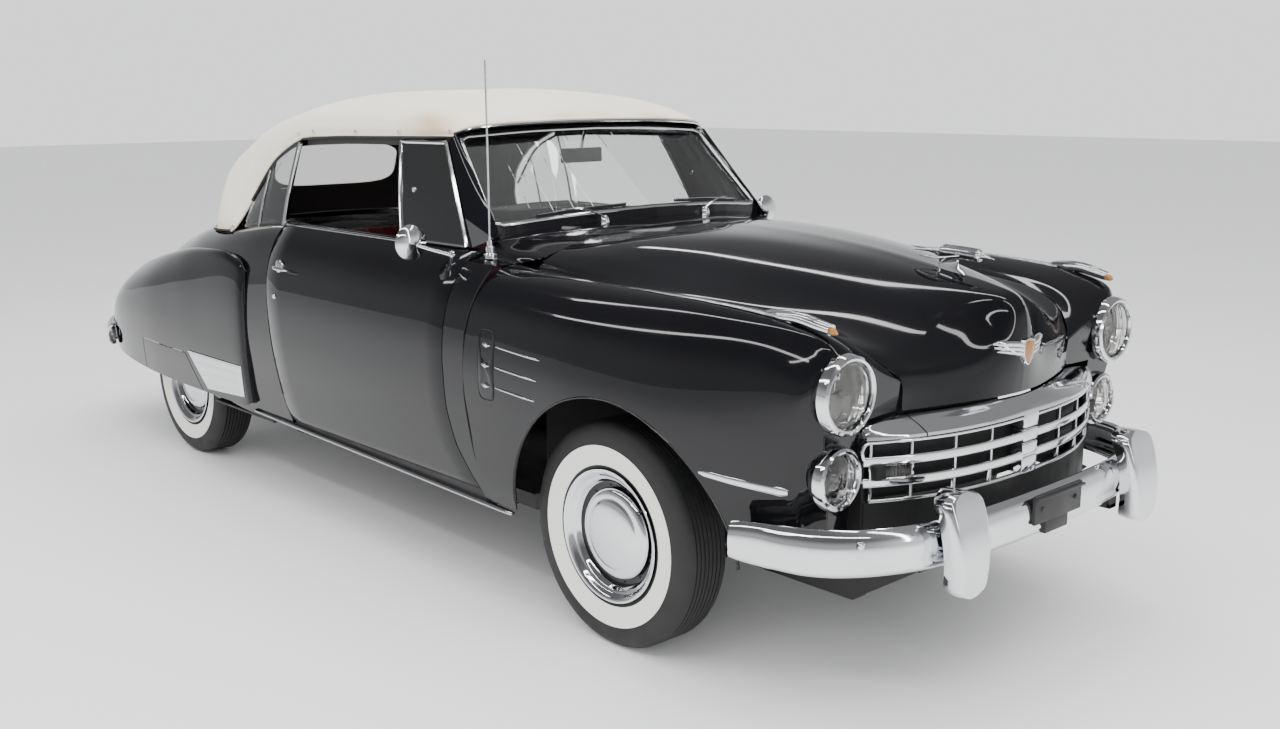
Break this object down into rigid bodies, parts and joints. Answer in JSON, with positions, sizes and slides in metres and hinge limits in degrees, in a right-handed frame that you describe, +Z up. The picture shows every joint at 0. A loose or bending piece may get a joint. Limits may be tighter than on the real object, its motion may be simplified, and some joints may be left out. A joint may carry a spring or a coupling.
{
  "type": "late-1940s two-door convertible car",
  "caption": "Two-door convertible car with a raised cloth top, front-hinged doors, rear-hinged hood, trunk lid and steered, rolling wheels.",
  "frame": {"origin": "on the ground under the middle of the car's length and width", "axes": "+X towards the front of the car, +Y to its left, +Z up"},
  "size_m": [5.194, 1.88, 1.764],
  "materials": {
    "body_paint": "gloss black enamel",
    "chrome": "polished chrome plate",
    "chassis_black": "satin black chassis paint",
    "wheel_paint": "gloss black",
    "tyre": "black rubber with a wide white wall",
    "top_cloth": "cream canvas with tan stains",
    "seat_cloth": "maroon pleated upholstery",
    "glass": "clear",
    "clear_vinyl": "clear flexible window",
    "engine_paint": "painted casting",
    "exhaust_steel": "dull heated steel",
    "wheel_rim_plastic": "gloss",
    "red_lens": "moulded lens"
  },
  "bodies": {
    "root": {"frame": "chassis_black", "floor_pan": "chassis_black", "cowl": "body_paint", "front_fenders": "body_paint", "rear_fenders": "body_paint", "fender_skirts": "body_paint", "rear_body": "body_paint", "nose_panel": "body_paint", "grille": "chrome", "front_bumper": "chrome", "plate_bracket": "chassis_black", "rear_bumper": "chrome", "headlamps": "chrome", "fog_lamps": "chrome", "tail_lamps": "red_lens", "windshield_frame": "body_paint", "windshield": "glass", "soft_top": "top_cloth", "top_bows": "chassis_black", "rear_window": "clear_vinyl", "quarter_windows": "glass", "front_seat": "seat_cloth", "rear_seat": "seat_cloth", "dashboard": "body_paint", "steering_column": "chassis_black", "engine": "engine_paint", "radiator": "chassis_black", "driveshaft": "chassis_black", "rear_axle": "chassis_black", "rear_springs": "chassis_black", "front_suspension": "chassis_black", "exhaust": "exhaust_steel", "fuel_tank": "chassis_black", "wheel_houses": "chassis_black", "antenna": "chrome"},
    "door_left": {"door_left": "body_paint", "vent_window_left": "chrome", "mirror_left": "chrome"},
    "door_right": {"door_right": "body_paint", "vent_window_right": "chrome", "mirror_right": "chrome"},
    "hood": {"hood": "body_paint"},
    "trunk_lid": {"trunk_lid": "body_paint"},
    "steering_wheel": {"steering_wheel": "wheel_rim_plastic"},
    "knuckle_left": {"knuckle_left": "chassis_black"},
    "knuckle_right": {"knuckle_right": "chassis_black"},
    "wheel_front_left": {"wheel_front_left": "wheel_paint", "tyre_front_left": "tyre"},
    "wheel_front_right": {"wheel_front_right": "wheel_paint", "tyre_front_right": "tyre"},
    "wheel_rear_left": {"wheel_rear_left": "wheel_paint", "tyre_rear_left": "tyre"},
    "wheel_rear_right": {"wheel_rear_right": "wheel_paint", "tyre_rear_right": "tyre"}
  },
  "joints": [
    {"name": "steer_left", "type": "hinge", "parent": "root", "child": "knuckle_left", "pos_m": [1.56, 0.628, 0.35], "axis": [0, 0, 1], "range_deg": [-30, 30]},
    {"name": "steer_right", "type": "hinge", "parent": "root", "child": "knuckle_right", "pos_m": [1.56, -0.628, 0.35], "axis": [0, 0, 1], "range_deg": [-30, 30]},
    {"name": "steering_wheel_turn", "type": "hinge", "parent": "root", "child": "steering_wheel", "pos_m": [0.455, 0.36, 1.015], "axis": [-0.788, 0, 0.6157], "range_deg": [-540, 540]},
    {"name": "roll_front_left", "type": "hinge", "parent": "knuckle_left", "child": "wheel_front_left", "pos_m": [1.56, 0.717, 0.35], "axis": [0, 1, 0], "continuous": true},
    {"name": "roll_rear_left", "type": "hinge", "parent": "root", "child": "wheel_rear_left", "pos_m": [-1.463, 0.686, 0.35], "axis": [0, 1, 0], "continuous": true},
    {"name": "door_left_open", "type": "hinge", "parent": "root", "child": "door_left", "pos_m": [0.836, 0.893, 0.75], "axis": [0, 0, -1], "range_deg": [0, 65]},
    {"name": "roll_front_right", "type": "hinge", "parent": "knuckle_right", "child": "wheel_front_right", "pos_m": [1.56, -0.717, 0.35], "axis": [0, 1, 0], "continuous": true},
    {"name": "roll_rear_right", "type": "hinge", "parent": "root", "child": "wheel_rear_right", "pos_m": [-1.463, -0.686, 0.35], "axis": [0, 1, 0], "continuous": true},
    {"name": "door_right_open", "type": "hinge", "parent": "root", "child": "door_right", "pos_m": [0.836, -0.893, 0.75], "axis": [0, 0, 1], "range_deg": [0, 65]},
    {"name": "hood_open", "type": "hinge", "parent": "root", "child": "hood", "pos_m": [1.07, 0, 1.225], "axis": [0, -1, 0], "range_deg": [0, 50]},
    {"name": "trunk_open", "type": "hinge", "parent": "root", "child": "trunk_lid", "pos_m": [-1.515, 0, 1.084], "axis": [0, 1, 0], "range_deg": [0, 60]}
  ],
  "couplings": [
    {"joint": "steer_right", "follows": "steer_left", "ratio": 1},
    {"joint": "steering_wheel_turn", "follows": "steer_left", "ratio": 18}
  ]
}
